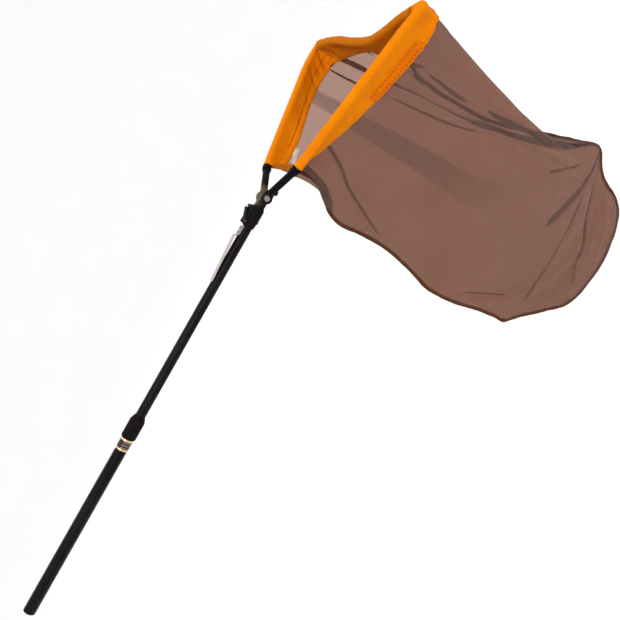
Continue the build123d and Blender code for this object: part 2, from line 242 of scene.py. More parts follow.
def woven(name, base, shade, deep, thread=1.0, sheen=0.01, rough=0.8, crease=0.5):
    """Plain-weave cloth in its own flat coordinates: crossing threads, slubs, fading and fine creases."""
    m = Nodes(name)
    flat = m.flat()
    warp = m.wave(WEAVE_SCALE * thread, "X", where=flat)
    weft = m.wave(WEAVE_SCALE * thread, "Y", where=flat)
    threads = m.math("MULTIPLY", warp, weft)
    slubs = m.noise(140.0, 3.0, 0.6, where=flat, stretch=(1.0, 7.0, 1.0))
    cloudy = m.noise(22.0, 5.0, 0.62)
    fine = m.noise(95.0, 4.0, 0.6, stretch=(1.0, 1.0, 0.35))
    faded = m.mix(m.ramp(cloudy, 0.32, 0.72, 0.0, 1.0), rgb(*shade), rgb(*base))
    lined = m.mix(m.ramp(slubs, 0.42, 0.72, 0.0, 0.35), faded, rgb(*deep))
    colour = m.mix(m.ramp(threads, 0.0, 0.6, 0.30, 0.0), lined, rgb(*deep))
    bumps = m.bump(threads, 0.35, 0.00025)
    bumps = m.bump(slubs, 0.25, 0.0006, bumps)
    bumps = m.bump(fine, crease, 0.0022, bumps)
    m.set(Base_Color=colour, Roughness=m.ramp(cloudy, 0.3, 0.7, rough - 0.06, rough + 0.08),
          Specular_IOR_Level=0.02, Sheen_Weight=sheen, Sheen_Roughness=0.5, Normal=bumps)
    return m.material


def netting(name, bunched_shade=None):
    """See-through knitted net: brown threads that pass a warm, dimmed light, with fine open cells.

    The last argument is (start, lean, half width, length) in metres of a soft run along a fold where the cells
    are drawn closer: partly the cloth laid double there, partly painted shade along the fold."""
    m = Nodes(name)
    flat = m.flat()
    across = m.wave(NET_SCALE, "X", where=flat)
    down = m.wave(NET_SCALE, "Y", where=flat)
    threads = m.math("MAXIMUM", across, down)
    drift = m.noise(30.0, 4.0, 0.6, where=flat)
    cloudy = m.noise(9.0, 4.0, 0.6)
    colour = m.mix(m.ramp(cloudy, 0.3, 0.7, 0.0, 1.0), rgb(0.115, 0.070, 0.056), rgb(0.139, 0.089, 0.072))
    m.set(Base_Color=colour, Roughness=0.85, Specular_IOR_Level=0.15, Sheen_Weight=0.05,
          Normal=m.bump(threads, 0.25, 0.0003))
    clear = m.node("BsdfTransparent", {"Color": m.mix(m.ramp(drift, 0.3, 0.7, 0.0, 1.0),
                                                      rgb(0.692, 0.440, 0.350), rgb(0.735, 0.475, 0.385))})
    covered = m.math("ADD", m.ramp(threads, 0.0, 1.0, 0.36, 0.60), m.ramp(drift, 0.3, 0.7, -0.03, 0.03))
    # a darker run along a fold: partly the doubled cloth, partly painted shade
    if bunched_shade:
        start, lean, half, reach = bunched_shade
        parts = m.node("SeparateXYZ", {"Vector": flat})
        middle = m.math("MULTIPLY_ADD", parts.outputs["Y"], lean)
        m.put(middle.node.inputs[2], start)
        away = m.math("ABSOLUTE", m.math("SUBTRACT", parts.outputs["X"], middle), 0.0)
        widen = m.ramp(parts.outputs["Y"], 0.0, reach, half, half * 1.7)
        run = m.math("MULTIPLY", m.ramp(m.math("SUBTRACT", away, widen), -0.004, 0.002, 1.0, 0.0),
                     m.ramp(parts.outputs["Y"], reach * 0.55, reach, 1.0, 0.0))
        covered = m.math("ADD", covered, m.math("MULTIPLY", run, 0.22))
    blend = m.node("MixShader", {0: covered})
    m.tree.links.new(clear.outputs[0], blend.inputs[1])
    m.tree.links.new(m.shader.outputs[0], blend.inputs[2])
    m.tree.links.new(blend.outputs[0], m.output.inputs["Surface"])
    return m.material


# ------------------------------------------------------------------ curves and grids
def smooth_line(points, count):
    """A smooth line (Catmull-Rom) through given points, at an even spacing along it."""
    p = np.array(points, float)
    p = np.vstack([2 * p[0] - p[1], p, 2 * p[-1] - p[-2]])
    fine = []
    for i in range(1, len(p) - 2):
        for t in np.linspace(0, 1, 24, endpoint=False):
            a, b, c, d = p[i - 1], p[i], p[i + 1], p[i + 2]
            fine.append(0.5 * (2 * b + (c - a) * t + (2 * a - 5 * b + 4 * c - d) * t * t
                               + (3 * b - a - 3 * c + d) * t ** 3))
    fine.append(p[-2])
    fine = np.array(fine)
    steps = np.concatenate([[0], np.cumsum(np.linalg.norm(np.diff(fine, axis=0), axis=1))])
    wanted = np.linspace(0, steps[-1], count)
    return np.stack([np.interp(wanted, steps, fine[:, k]) for k in range(fine.shape[1])], axis=1)


def unit(v):
    return v / np.maximum(np.linalg.norm(v, axis=-1, keepdims=True), 1e-9)


def ease(t):
    t = np.clip(t, 0, 1)
    return t * t * (3 - 2 * t)


def grid_faces(rows, columns, wrap=False):
    faces = []
    for i in range(rows - 1):
        for j in range(columns if wrap else columns - 1):
            k = (j + 1) % columns
            faces.append((i * columns + j, i * columns + k, (i + 1) * columns + k, (i + 1) * columns + j))
    return faces


def give_flat(made, flat):
    """Writes the cloth's flat coordinates, one per vertex, as the UV map that the weaves use."""
    layer = made.data.uv_layers.new(name="flat")
    index = np.zeros(len(made.data.loops), np.int32)
    made.data.loops.foreach_get("vertex_index", index)
    layer.data.foreach_set("uv", np.asarray(flat, np.float32)[index].ravel())


def subdivide(made, levels=1):
    modifier = made.modifiers.new("subdivision", "SUBSURF")
    modifier.levels = modifier.render_levels = levels
    modifier.boundary_smooth = "PRESERVE_CORNERS"
    return modifier


def thicken(made, thickness, offset=0.0):
    modifier = made.modifiers.new("thickness", "SOLIDIFY")
    modifier.thickness, modifier.offset = thickness, offset
    modifier.use_even_offset = True
    return modifier


def apply_modifiers(made):
    """Replaces the object's mesh by its evaluated one."""
    graph = bpy.context.evaluated_depsgraph_get()
    mesh = bpy.data.meshes.new_from_object(made.evaluated_get(graph), preserve_all_data_layers=True,
                                           depsgraph=graph)
    made.modifiers.clear()
    made.data = mesh


def cloth_piece(made, material):
    """Gives a cloth piece its material and lets it ride on the head."""
    made.data.materials.append(material)
    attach(made, "head")


# ------------------------------------------------------------------ the mouth's lines, from the hinge pin
ROD_NEAR = [(0.0635, -0.0700, 0.0), (0.140, -0.1016, 0.0), (0.220, -0.1345, 0.0), (0.300, -0.1675, 0.0),
            (0.339, -0.1848, 0.0), (0.3500, -0.1858, -0.001), (0.3515, -0.1755, -0.002),
            (0.3460, -0.1570, -0.002)]
HEM_NEAR = [(0.076, -0.036, -0.014), (0.106, -0.050, -0.027), (0.130, -0.064, -0.032),
            (0.153, -0.077, -0.036), (0.196, -0.104, -0.041), (0.241, -0.127, -0.045),
            (0.290, -0.153, -0.047), (0.335, -0.171, -0.046), (0.359, -0.176, -0.040),
            (0.362, -0.164, -0.042), (0.354, -0.150, -0.045)]
ROD_FAR = [(0.0635, 0.0700, 0.0), (0.140, 0.1016, 0.0), (0.220, 0.1345, 0.0), (0.285, 0.1610, 0.0),
           (0.318, 0.1708, -0.002), (0.3345, 0.1745, -0.004), (0.3430, 0.1685, -0.003),
           (0.3425, 0.1560, -0.001), (0.3380, 0.1400, 0.001)]
HEM_FAR = [(0.072, 0.066, -0.030), (0.103, 0.076, -0.034), (0.140, 0.089, -0.036),
           (0.181, 0.111, -0.037), (0.223, 0.136, -0.038), (0.270, 0.154, -0.040),
           (0.305, 0.152, -0.041), (0.322, 0.141, -0.041), (0.327, 0.126, -0.041)]
ROD_FRONT = [(0.3440, -0.164, 0.000), (0.3400, -0.136, -0.002), (0.3330, -0.110, -0.005),
             (0.3220, -0.080, -0.007), (0.3190, -0.048, -0.009), (0.3225, -0.010, -0.009),
             (0.3290, 0.032, -0.007), (0.3350, 0.072, -0.002), (0.3370, 0.112, 0.002),
             (0.3360, 0.152, 0.002)]
HEM_FRONT = [(0.356, -0.152, -0.045), (0.338, -0.124, -0.045), (0.320, -0.086, -0.045),
             (0.319, -0.046, -0.044), (0.329, 0.004, -0.043), (0.333, 0.045, -0.042),
             (0.329, 0.090, -0.041), (0.325, 0.132, -0.041)]
POCKET_R = 0.0075
SEAM_AT = 0.022                     # how far below the rod's line the pocket is stitched
BAND_STATIONS = 110                 # cross-sections along a band
HEM_EDGE, HEM_COLUMN, SEAM_COLUMN = 3, 5, 12
PATCH_START, PATCH_STOP = 51, 87    # stations of the near band that carry the patch
STITCH_LIFT, LADDER_LIFT = 0.0006, 0.0007
BAND_THICK, PATCH_THICK, HEEL_THICK, TAG_THICK = 0.0009, 0.0008, 0.0016, 0.0005


def band(name, rod, hem, material, seed, ripple, gather=()):
    """A strip of cloth folded round a rod line and stitched under it, with a flap that hangs to a turned hem.

    gather lists (centre, width, depth) of soft pleats. Centre and width are shares of the strip's
    length, and the depth is in metres."""
    count = BAND_STATIONS
    centre, low = smooth_line(rod, count), smooth_line(hem, count)
    down = low - centre
    length = np.linalg.norm(down, axis=1)
    down = unit(down)
    tangent = unit(np.gradient(centre, axis=0))
    out = unit(np.cross(down, tangent))
    if (out[count // 2] * (centre[count // 2] - low.mean(0))).sum() < 0:
        out = -out
    run = np.concatenate([[0], np.cumsum(np.linalg.norm(np.diff(centre, axis=0), axis=1))])
    rows, flats = [], []
    for i in range(count):
        f = length[i]
        profile = [(-0.0022, f - 0.011), (-0.0025, f - 0.004), (-0.0014, f + 0.0005), (0.0005, f + 0.0002)]
        profile += [(0.0006, f - (f - SEAM_AT) * k / 9) for k in range(1, 10)]
        profile += [(POCKET_R * math.sin(a), POCKET_R * math.cos(a))
                    for a in np.radians(np.linspace(70, 290, 18))]
        profile += [(-0.0034, SEAM_AT * 0.55), (-0.0009, SEAM_AT), (-0.0009, SEAM_AT + 0.004)]
        profile = np.array(profile)
        along = np.concatenate([[0], np.cumsum(np.linalg.norm(np.diff(profile, axis=0), axis=1))])
        share = i / (count - 1)
        line = []
        for (a, b), d in zip(profile, along):
            loose = float(ease((b - 0.004) / 0.022)) * (1 - 0.8 * float(ease((b - f + 0.014) / 0.012)))
            soft = noise.noise(Vector((share * 9.0 + seed, b * 22.0, seed))) * ripple
            soft += noise.noise(Vector((share * 34.0 + seed, b * 30.0, seed + 5.0))) * ripple * 0.45
            for middle, width, depth in gather:
                gap = (share - middle) / width
                soft += depth * math.cos(gap * 2.4) * math.exp(-gap * gap)
            round_it = 1.0 - 0.75 * loose
            crinkle = noise.noise(Vector((share * 60.0, b * 140.0 + a * 140.0, seed + 9.0))) * 0.0007 * round_it
            line.append(centre[i] + out[i] * (a + soft * loose + crinkle) + down[i] * (b + crinkle))
        rows.append(line)
        flats.append(np.stack([np.full(len(along), run[i]), along], axis=1))
    columns = len(rows[0])
    made = link_mesh(name, PIN + np.array(rows).reshape(-1, 3), grid_faces(count, columns))
    give_flat(made, np.array(flats).reshape(-1, 2))
    subdivide(made)
    thicken(made, BAND_THICK)
    apply_modifiers(made)
    cloth_piece(made, material)
    return made, np.array(rows), out


def stitches(name, lines, material, length=0.0030, pitch=0.0046, radius=0.00034):
    """Rows of short thread stitches, each a small closed capsule laid along a line of (point, out)."""
    verts, faces = [], []
    for points, outs in lines:
        steps = np.concatenate([[0], np.cumsum(np.linalg.norm(np.diff(points, axis=0), axis=1))])
        starts = np.arange(0.002, steps[-1] - length, pitch)
        for s in starts:
            ring_at = [0.0, 0.12, 0.5, 0.88, 1.0]
            widths = [0.25, 0.85, 1.0, 0.85, 0.25]
            rise = [-0.4, 0.5, 0.9, 0.5, -0.4]
            base = len(verts)
            for t, w, h in zip(ring_at, widths, rise):
                d = s + t * length
                p = np.array([np.interp(d, steps, points[:, k]) for k in range(3)])
                n = unit(np.array([np.interp(d, steps, outs[:, k]) for k in range(3)]))
                q = np.array([np.interp(d + 0.0005, steps, points[:, k]) for k in range(3)])
                side = unit(np.cross(n, unit(q - p)))
                for angle in np.radians([0, 60, 120, 180, 240, 300]):
                    verts.append(PIN + p + n * (h * radius + math.sin(angle) * radius * w * 0.8)
                                 + side * math.cos(angle) * radius * w)
            for ring in range(4):
                for k in range(6):
                    a, b = base + ring * 6 + k, base + ring * 6 + (k + 1) % 6
                    faces.append((a, b, b + 6, a + 6))
            faces.append(tuple(base + k for k in reversed(range(6))))
            faces.append(tuple(base + 24 + k for k in range(6)))
    made = link_mesh(name, verts, faces)
    cloth_piece(made, material)
    return made


def stitch_line(rows, out, column, lift):
    """A line on the outside of a band, along one column of its cross-section."""
    return rows[:, column] + out * lift, out


# ------------------------------------------------------------------ the bag
HEEL_SEAM = [(-0.030, 0.076), (-0.060, 0.078), (-0.090, 0.070), (-0.122, 0.047), (-0.155, 0.038),
             (-0.203, 0.044), (-0.257, 0.049), (-0.300, 0.047), (-0.347, 0.041), (-0.402, 0.030),
             (-0.450, 0.031), (-0.487, 0.037), (-0.530, 0.046), (-0.566, 0.055), (-0.610, 0.062),
             (-0.640, 0.067), (-0.668, 0.090), (-0.705, 0.118), (-0.745, 0.148), (-0.785, 0.181),
             (-0.808, 0.222), (-0.816, 0.262)]
FRONT_SEAM = [(-0.042, 0.331), (-0.075, 0.345), (-0.119, 0.361), (-0.144, 0.352), (-0.187, 0.354),
              (-0.236, 0.361), (-0.287, 0.370), (-0.325, 0.379), (-0.364, 0.394), (-0.431, 0.423),
              (-0.513, 0.461), (-0.575, 0.490), (-0.623, 0.512), (-0.645, 0.508), (-0.662, 0.490),
              (-0.690, 0.470), (-0.720, 0.462), (-0.752, 0.456), (-0.783, 0.440), (-0.800, 0.416),
              (-0.811, 0.390), (-0.816, 0.372)]
# the widest part and the edge that hangs from the arm's tip: height, x and y of each
NEAR_SIDE = [(-0.045, 0.200, 0.105, 0.358, 0.162), (-0.085, 0.203, 0.103, 0.376, 0.148),
             (-0.124, 0.206, 0.101, 0.387, 0.130), (-0.200, 0.208, 0.098, 0.398, 0.100),
             (-0.330, 0.214, 0.084, 0.414, 0.070), (-0.450, 0.222, 0.066, 0.437, 0.041),
             (-0.550, 0.238, 0.049, 0.471, 0.020), (-0.618, 0.260, 0.037, 0.500, 0.008),
             (-0.650, 0.272, 0.031, 0.466, 0.012), (-0.710, 0.285, 0.020, 0.412, 0.012),
             (-0.770, 0.308, 0.010, 0.394, 0.006), (-0.816, 0.318, 0.0022, 0.350, 0.0018)]
FAR_SIDE = [(-0.045, 0.190, 0.100, 0.318, 0.150), (-0.085, 0.195, 0.104, 0.330, 0.136),
            (-0.124, 0.200, 0.104, 0.342, 0.120), (-0.200, 0.206, 0.098, 0.360, 0.092),
            (-0.330, 0.214, 0.082, 0.392, 0.060), (-0.450, 0.222, 0.064, 0.428, 0.036),
            (-0.550, 0.238, 0.047, 0.468, 0.018), (-0.618, 0.260, 0.036, 0.498, 0.008),
            (-0.650, 0.272, 0.030, 0.464, 0.011), (-0.710, 0.285, 0.019, 0.412, 0.011),
            (-0.770, 0.308, 0.010, 0.394, 0.006), (-0.816, 0.318, 0.0022, 0.350, 0.0018)]
TOP_Z, BOTTOM_Z = -0.042, -0.816
ROWS, COLUMNS = 150, 150


def at_height(table, z):
    """A listed line's values at a height, smoothly between its points."""
    p = np.array(table, float)
    fine = smooth_line(p, 400)
    order = np.argsort(fine[:, 0])
    return [np.interp(z, fine[order, 0], fine[order, k]) for k in range(1, p.shape[1])]


def bag_surface(side, mouth):
    """The resting shape of one panel, as rows of points from the mouth down."""
    heights = TOP_Z + (BOTTOM_Z - TOP_Z) * np.linspace(0, 1, ROWS)
    rows = []
    for z in heights:
        (heel,), (front,) = at_height(HEEL_SEAM, z), at_height(FRONT_SEAM, z)
        x_mid, y_mid, x_edge, y_edge = at_height(FAR_SIDE if side > 0 else NEAR_SIDE, z)
        level = smooth_line([(heel, 0.0012), (x_mid, y_mid), (x_edge, y_edge), (front, 0.0012)], COLUMNS)
        sag = -0.007 * np.sin(np.linspace(0, math.pi, COLUMNS)) * float(ease((-z - 0.74) / 0.07))
        rows.append(np.stack([level[:, 0], side * np.maximum(level[:, 1], 0.0012), z + sag], axis=1))
    rows = np.array(rows)
    pull = smooth_line(mouth, COLUMNS) - rows[0]
    fade = 1 - ease(np.linspace(0, 1, ROWS) / 0.17)
    rows += pull[None, :, :] * fade[:, None, None]
    return rows


def sample(surface, s, t):
    """Points of a surface at shares s across and t down."""
    x, y = np.clip(s, 0, 1) * (COLUMNS - 1), np.clip(t, 0, 1) * (ROWS - 1)
    j, i = np.minimum(x.astype(int), COLUMNS - 2), np.minimum(y.astype(int), ROWS - 2)
    fx, fy = (x - j)[..., None], (y - i)[..., None]
    return ((surface[i, j] * (1 - fx) + surface[i, j + 1] * fx) * (1 - fy)
            + (surface[i + 1, j] * (1 - fx) + surface[i + 1, j + 1] * fx) * fy)


BAG_WIDTH, BAG_DEPTH = 0.48, 0.80           # rough size of a panel, which sets the fold widths
CLOTH_FRAMES, CLOTH_SLACK, HELD_INSIDE = 24, 0.012, 0.05
FOLD_STATIONS, SEAM_STATIONS = 60, 620
PANEL_CLEAR = 0.0010                        # least distance of a panel from the mid plane
TAPE_HALF_WIDTH, TAPE_HALF_THICK = 0.0041, 0.0023


def folded(surface, side, folds):
    """Lays pleats into a panel: the cloth doubles back on itself along each listed line.

    Each fold is (points as shares across and down, half width in metres, strength, height)."""
    s, t = np.meshgrid(np.linspace(0, 1, COLUMNS), np.linspace(0, 1, ROWS))
    shift = np.zeros(s.shape + (2,))
    lift = np.zeros(s.shape)
    place = np.stack([s * BAG_WIDTH, t * BAG_DEPTH], axis=-1)
    for points, width, strength, height in folds:
        line = smooth_line([(a * BAG_WIDTH, b * BAG_DEPTH) for a, b in points], FOLD_STATIONS)
        offsets = place[:, :, None, :] - line[None, None]
        nearest = np.argmin((offsets ** 2).sum(-1), axis=-1)
        tangent = unit(np.gradient(line, axis=0))
        across = np.stack([tangent[:, 1], -tangent[:, 0]], axis=-1)[nearest]
        gap = np.take_along_axis(offsets, nearest[..., None, None], axis=2)[..., 0, :]
        far = (gap * across).sum(-1)
        past = np.abs((gap * tangent[nearest]).sum(-1))
        end = ease(nearest / 8.0) if points[0][1] > 0.02 else 1.0
        end = end * ease((FOLD_STATIONS - 1 - nearest) / 8.0) * np.exp(-(past / width) ** 2)
        bell = np.exp(-(far / width) ** 2) * end
        shift -= across * (strength * far * bell)[..., None]
        lift += height * (far / width) * bell * 1.6
    s2, t2 = s + shift[..., 0] / BAG_WIDTH, t + shift[..., 1] / BAG_DEPTH
    s2[:, 0], s2[:, -1], t2[0] = 0.0, 1.0, 0.0
    t2[-1] = 1.0
    moved = sample(surface, s2, t2)
    across = np.gradient(surface, axis=1)
    along = np.gradient(surface, axis=0)
    normal = unit(np.cross(across, along))
    normal *= np.sign((normal[..., 1:2] * side).mean())
    keep = np.minimum(1, np.minimum(s, 1 - s) / 0.03) * np.minimum(1, t / 0.02)
    return moved + sample(normal, s2, t2) * (lift * keep)[..., None]


def hang(made, pinned, frames, slack):
    """Lets the cloth hang and settle, with its mouth and its seam held, then keeps the result."""
    group = made.vertex_groups.new(name="held")
    for index, weight in pinned:
        group.add([int(index)], float(weight), "REPLACE")
    modifier = made.modifiers.new("hang", "CLOTH")
    settings = modifier.settings
    settings.quality = 6
    settings.mass = 0.02
    settings.air_damping = 2.0
    settings.tension_stiffness = settings.compression_stiffness = 14.0
    settings.shear_stiffness = 3.0
    settings.bending_stiffness = 0.05
    settings.vertex_group_mass = "held"
    settings.pin_stiffness = 2.0
    settings.shrink_min = -slack
    modifier.collision_settings.use_collision = False
    modifier.collision_settings.use_self_collision = False
    modifier.point_cache.frame_start, modifier.point_cache.frame_end = 1, frames
    for step in range(1, frames + 1):
        scene.frame_set(step)
    apply_modifiers(made)
    scene.frame_set(1)


def bag_panel(name, side, mouth, folds, material):
    """One net panel: the resting shape, its pleats, the cloth simulation, then a finer mesh."""
    surface = folded(bag_surface(side, mouth), side, folds)
    made = link_mesh(name, PIN + surface.reshape(-1, 3), grid_faces(ROWS, COLUMNS))
    s, t = np.meshgrid(np.linspace(0, 1, COLUMNS), np.linspace(0, 1, ROWS))
    give_flat(made, np.stack([s * BAG_WIDTH * 1.1, t * BAG_DEPTH * 1.1], axis=-1).reshape(-1, 2))
    held = []
    for i in range(ROWS):
        for j in range(COLUMNS):
            edge = i in (0, ROWS - 1) or j in (0, COLUMNS - 1)
            held.append((i * COLUMNS + j, 1.0 if edge else HELD_INSIDE))
    hang(made, held, CLOTH_FRAMES, CLOTH_SLACK)
    points = np.zeros(len(made.data.vertices) * 3)
    made.data.vertices.foreach_get("co", points)
    points = points.reshape(-1, 3)
    points[:, 1] = side * np.maximum(side * points[:, 1], PANEL_CLEAR)
    made.data.vertices.foreach_set("co", points.ravel())
    subdivide(made)
    apply_modifiers(made)
    cloth_piece(made, material)
    return made


def seam_points():
    """The line of the bound seam in the bag's mid plane, from the heel down, under and up to the front."""
    line = [(x, z) for z, x in HEEL_SEAM] + [(0.290, -0.8205), (0.318, -0.823), (0.346, -0.8205)]
    line += [(x, z) for z, x in reversed(FRONT_SEAM)]
    return smooth_line([(x, 0.0, z) for x, z in line], SEAM_STATIONS)


def seam_tape(name, material):
    """Binding folded over the bag's raw edges: a soft flat tape with gathers along it."""
    line = seam_points()
    tangent = unit(np.gradient(line, axis=0))
    across = np.stack([tangent[:, 2], np.zeros(len(line)), -tangent[:, 0]], axis=1)
    run = np.concatenate([[0], np.cumsum(np.linalg.norm(np.diff(line, axis=0), axis=1))])
    ring = 12
    verts, flats = [], []
    for i, p in enumerate(line):
        wide = TAPE_HALF_WIDTH * (1 + 0.25 * noise.noise(Vector((run[i] * 60, 3.1, 0))))
        thick = TAPE_HALF_THICK * (1 + 0.30 * noise.noise(Vector((run[i] * 160, 7.7, 0))))
        sway = 0.0014 * noise.noise(Vector((run[i] * 26, 1.3, 0)))
        twist = 0.5 * noise.noise(Vector((run[i] * 14, 5.9, 0)))
        for k in range(ring):
            a = 2 * math.pi * k / ring
            u, v = math.cos(a) * wide, math.sin(a) * thick
            u, v = u * math.cos(twist) - v * math.sin(twist), u * math.sin(twist) + v * math.cos(twist)
            verts.append(PIN + p + across[i] * (u + sway) + np.array([0, v, 0]))
            flats.append((run[i], k * 0.0011))
    faces = grid_faces(len(line), ring, wrap=True)
    last = (len(line) - 1) * ring
    faces += [tuple(reversed(range(ring))), tuple(last + k for k in range(ring))]
    made = link_mesh(name, verts, faces)
    give_flat(made, flats)
    cloth_piece(made, material)
    return made


# ------------------------------------------------------------------ materials
orange = woven("orange_look", (0.77, 0.234, 0.001), (0.65, 0.180, 0.001), (0.44, 0.082, 0.001))
orange_hem = woven("orange_hem_look", (0.72, 0.180, 0.001), (0.63, 0.140, 0.001), (0.40, 0.060, 0.001),
                   crease=0.9)
# a darker copy of the band orange: painted shade for the inward-facing front band and heel band
orange_shaded = woven("orange_shaded_look", (0.53, 0.160, 0.001), (0.43, 0.118, 0.001), (0.28, 0.058, 0.001))
thread = woven("thread_look", (0.60, 0.17, 0.003), (0.50, 0.12, 0.002), (0.30, 0.05, 0.001), thread=3.0)
dark_thread = woven("dark_thread_look", (0.34, 0.040, 0.004), (0.24, 0.026, 0.003), (0.14, 0.015, 0.002),
                    thread=3.0)
net = netting("net_look")
# the far net's darker run along its broad fold is partly painted shade
far_net_cloth = netting("far_net_look", (0.284, 0.050, 0.029, 0.55))
binding = woven("binding_look", (0.120, 0.044, 0.019), (0.076, 0.028, 0.012), (0.030, 0.011, 0.005), thread=1.5)
tag_cloth = woven("tag_look", (0.72, 0.66, 0.60), (0.60, 0.54, 0.49), (0.42, 0.36, 0.32), thread=2.0)

LOOKS = {
    "black_anodised": anodised("anodised_look", (0.0080, 0.0060, 0.0085), (0.0145, 0.0115, 0.0140)),
    # the olive spot on the top of the fork near the pin is a painted highlight, where light falls on the upward
    # face
    "black_plastic": moulded("plastic_look", (0.0048, 0.0032, 0.0035), (0.0090, 0.0066, 0.0064),
                             painted_highlight=(tuple(PIN + np.array([0.000, 0.014, 0.012])), 0.030,
                                     (0.150, 0.122, 0.060))),
    "gold_trim": metal("gold_look", (0.80, 0.62, 0.34), (0.56, 0.40, 0.18), 0.30, (0.05, 1, 1)),
    "print_black": printed("print_look"),
    "clip_steel": metal("clip_look", (0.37, 0.325, 0.290), (0.26, 0.225, 0.200), 0.36, (0.05, 1, 1)),
    "bright_steel": metal("steel_look", (0.30, 0.260, 0.255), (0.18, 0.155, 0.150), 0.30),
    "white_nylon": moulded("nylon_look", (0.60, 0.59, 0.55), (0.70, 0.69, 0.65), 0.45, 0.15),
    "rod_alloy": metal("rod_look", (0.060, 0.056, 0.058), (0.035, 0.032, 0.034), 0.40, (0.1, 0.1, 1)),
    "cord_grey": braided("cord_look", (0.30, 0.20, 0.10), (0.14, 0.08, 0.04)),
}
for node in nodes.values():
    slot_name = node.data.materials[0].name
    if slot_name in LOOKS:
        node.data.materials[0] = LOOKS[slot_name]

# ------------------------------------------------------------------ bands
near_band, near_rows, near_out = band(
    "near_band", ROD_NEAR, HEM_NEAR, orange, 1.7, 0.0022,
    [(0.870, 0.05, -0.0030), (0.945, 0.045, 0.0090)])
far_band, far_rows, far_out = band(
    "far_band", ROD_FAR, HEM_FAR, orange, 8.2, 0.0024,
    [(0.74, 0.035, 0.0035), (0.84, 0.03, -0.004), (0.93, 0.03, 0.004)])
# the front band takes the darker orange copy, which is painted shade
front_band, front_rows, front_out = band(
    "front_band", ROD_FRONT, HEM_FRONT, orange_shaded, 14.9, 0.0030,
    [(0.10, 0.05, 0.004), (0.90, 0.05, 0.004)])
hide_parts("near_sleeve")
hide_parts("far_sleeve")
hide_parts("front_sleeve")
for name, rows, out in (("near", near_rows, near_out), ("far", far_rows, far_out),
                        ("front", front_rows, front_out)):
    lines = [stitch_line(rows, out, column, STITCH_LIFT) for column in (HEM_COLUMN, SEAM_COLUMN)]
    stitches(name + "_band_stitches", lines, thread)


# ------------------------------------------------------------------ hem patch
def hem_patch(name, rows, out, first, last, material):
    """A second strip of cloth sewn over the lower half of the near band, with square ends."""
    count = last - first
    strip, flats = [], []
    for i in range(first, last):
        low, high = rows[i, HEM_EDGE], rows[i, HEM_EDGE] + (rows[i, SEAM_COLUMN] - rows[i, HEM_EDGE]) * 0.80
        for k in range(8):
            puff = 0.0011 + 0.0007 * noise.noise(Vector((i * 0.22, k * 0.5, 3.3)))
            strip.append(low + (high - low) * k / 7 + out[i] * puff)
            flats.append((i * 0.0031, k * 0.0028))
    made = link_mesh(name, PIN + np.array(strip), grid_faces(count, 8))
    give_flat(made, flats)
    subdivide(made)
    thicken(made, PATCH_THICK)
    apply_modifiers(made)
    cloth_piece(made, material)
    return made, np.array(strip).reshape(count, 8, 3)


patch, patch_rows = hem_patch("near_hem_patch", near_rows, near_out, PATCH_START, PATCH_STOP, orange_hem)
ladder = []
for i in range(1, len(patch_rows) - 1, 2):
    for low, high in ((0.7, 2.6), (4.6, 6.4)):
        ends = [patch_rows[i, int(k)] + (patch_rows[i, int(k) + 1] - patch_rows[i, int(k)]) * (k % 1)
                for k in (low, high)]
        ladder.append((np.array(ends) + near_out[PATCH_START + i] * LADDER_LIFT,
                       np.stack([near_out[PATCH_START + i]] * 2)))
stitches("near_patch_ladder", ladder, dark_thread, length=0.0030, pitch=0.1, radius=0.00070)

# ------------------------------------------------------------------ heel band
ROD_HEEL = [(0.069, -0.064, -0.006), (0.072, -0.040, -0.008), (0.074, 0.0, -0.010), (0.073, 0.035, -0.009),
            (0.070, 0.066, -0.006)]
HEM_HEEL = [(0.078, -0.038, -0.016), (0.078, -0.022, -0.022), (0.077, 0.0, -0.030), (0.075, 0.030, -0.031),
            (0.072, 0.064, -0.031)]
HEEL_STATIONS, HEEL_COLUMNS = 40, 9


def heel_strip(name, material):
    """The short double strip of the band between the two legs."""
    high, low = smooth_line(ROD_HEEL, HEEL_STATIONS), smooth_line(HEM_HEEL, HEEL_STATIONS)
    rows, flats = [], []
    for i in range(HEEL_STATIONS):
        line = []
        for k in range(HEEL_COLUMNS):
            p = high[i] + (low[i] - high[i]) * k / (HEEL_COLUMNS - 1)
            p = p + np.array([0.0015 * noise.noise(Vector((i * 0.3, k * 0.5, 2.2))), 0, 0])
            line.append(p)
            flats.append((i * 0.0034, k * 0.003))
        rows.append(line)
    made = link_mesh(name, PIN + np.array(rows).reshape(-1, 3), grid_faces(HEEL_STATIONS, HEEL_COLUMNS))
    give_flat(made, flats)
    subdivide(made)
    thicken(made, HEEL_THICK)
    apply_modifiers(made)
    cloth_piece(made, material)
    return made


# the heel strip takes the darker orange copy, which is painted shade
heel_band = heel_strip("heel_band", orange_shaded)
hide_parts("near_heel_band", "far_heel_band")

